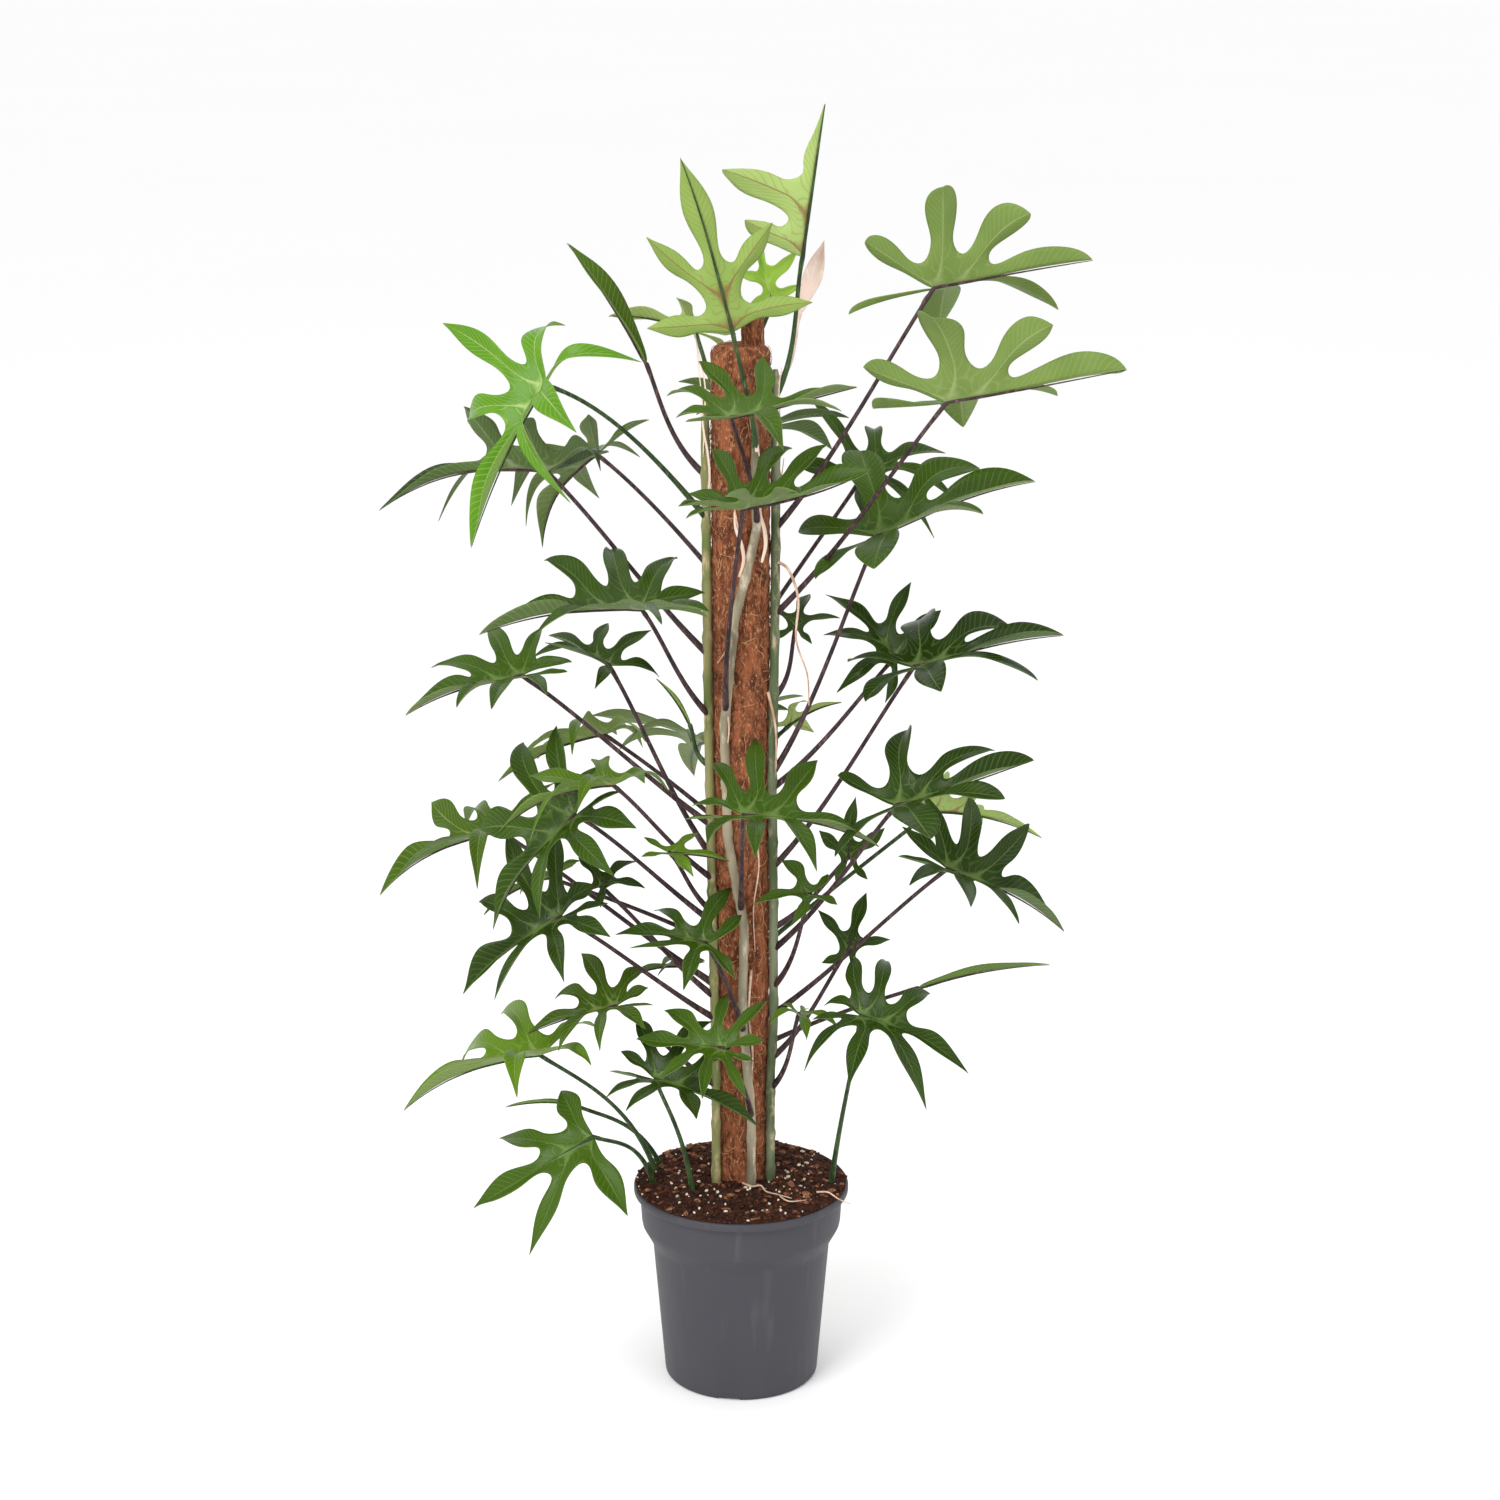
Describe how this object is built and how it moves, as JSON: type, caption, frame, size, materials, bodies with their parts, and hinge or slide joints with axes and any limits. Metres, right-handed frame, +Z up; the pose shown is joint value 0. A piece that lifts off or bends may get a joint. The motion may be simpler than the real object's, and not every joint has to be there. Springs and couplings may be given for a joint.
{
  "type": "potted philodendron",
  "caption": "Climbing plant with deeply lobed leaves on long stalks, growing up a coir-covered pole in a round tapered nursery pot filled with potting soil.",
  "frame": {"origin": "centre of the pot's base, on the ground", "axes": "+Z up along the pole; -Y towards the side the plant shows; +X to that viewer's right"},
  "size_m": [0.8109, 0.5655, 1.4116],
  "materials": {
    "pot_plastic": "injection-moulded slate grey plastic, satin, slightly scuffed",
    "soil": "damp dark brown potting mix with bark and white perlite",
    "coir": "rough reddish-brown coconut fibre",
    "stem": "grey-green stem skin, matt, faintly ringed",
    "leaf_young": "young leaf, pale yellow-green, satin, thin enough to glow",
    "leaf_mid": "grown leaf, mid green, glossy above and grey-green below",
    "leaf_dark": "old leaf, dark green, glossy above and grey-green below",
    "dry_sheath": "dried papery sheath and root skin, pale pinkish beige"
  },
  "bodies": {
    "root": {"nursery_pot": "pot_plastic", "potting_soil": "soil", "coir_sleeve": "coir", "pole_core": "coir", "climbing_stem_left": "stem", "climbing_stem_front": "stem", "climbing_stem_right": "stem", "climbing_stem_back": "stem", "leaf_01": "leaf_young", "leaf_02": "leaf_young", "leaf_03": "leaf_young", "leaf_04": "leaf_mid", "leaf_05": "leaf_young", "leaf_06": "leaf_dark", "leaf_07": "leaf_dark", "leaf_08": "leaf_young", "leaf_09": "leaf_dark", "leaf_10": "leaf_dark", "leaf_11": "leaf_dark", "leaf_12": "leaf_dark", "leaf_13": "leaf_dark", "leaf_14": "leaf_mid", "leaf_15": "leaf_mid", "leaf_16": "leaf_dark", "leaf_17": "leaf_mid", "leaf_18": "leaf_mid", "leaf_19": "leaf_dark", "leaf_20": "leaf_dark", "leaf_21": "leaf_mid", "leaf_22": "leaf_young", "leaf_23": "leaf_dark", "leaf_24": "leaf_dark", "leaf_25": "leaf_dark", "leaf_26": "leaf_mid", "leaf_27": "leaf_dark", "leaf_28": "leaf_mid", "leaf_29": "leaf_dark", "leaf_30": "leaf_mid", "leaf_31": "leaf_dark", "leaf_32": "leaf_mid", "leaf_33": "leaf_mid", "leaf_34": "leaf_dark", "leaf_35": "leaf_dark", "leaf_36": "leaf_dark", "leaf_37": "leaf_dark", "leaf_38": "leaf_dark", "leaf_39": "leaf_young", "leaf_40": "leaf_dark", "leaf_41": "leaf_young", "leaf_42": "leaf_dark", "leaf_43": "leaf_dark", "leaf_44": "leaf_dark", "leaf_45": "leaf_dark", "leaf_46": "leaf_mid", "leaf_47": "leaf_mid", "leaf_48": "leaf_dark", "leaf_49": "leaf_dark", "leaf_50": "leaf_dark", "dried_sheath": "dry_sheath", "aerial_root": "dry_sheath"}
  },
  "joints": []
}
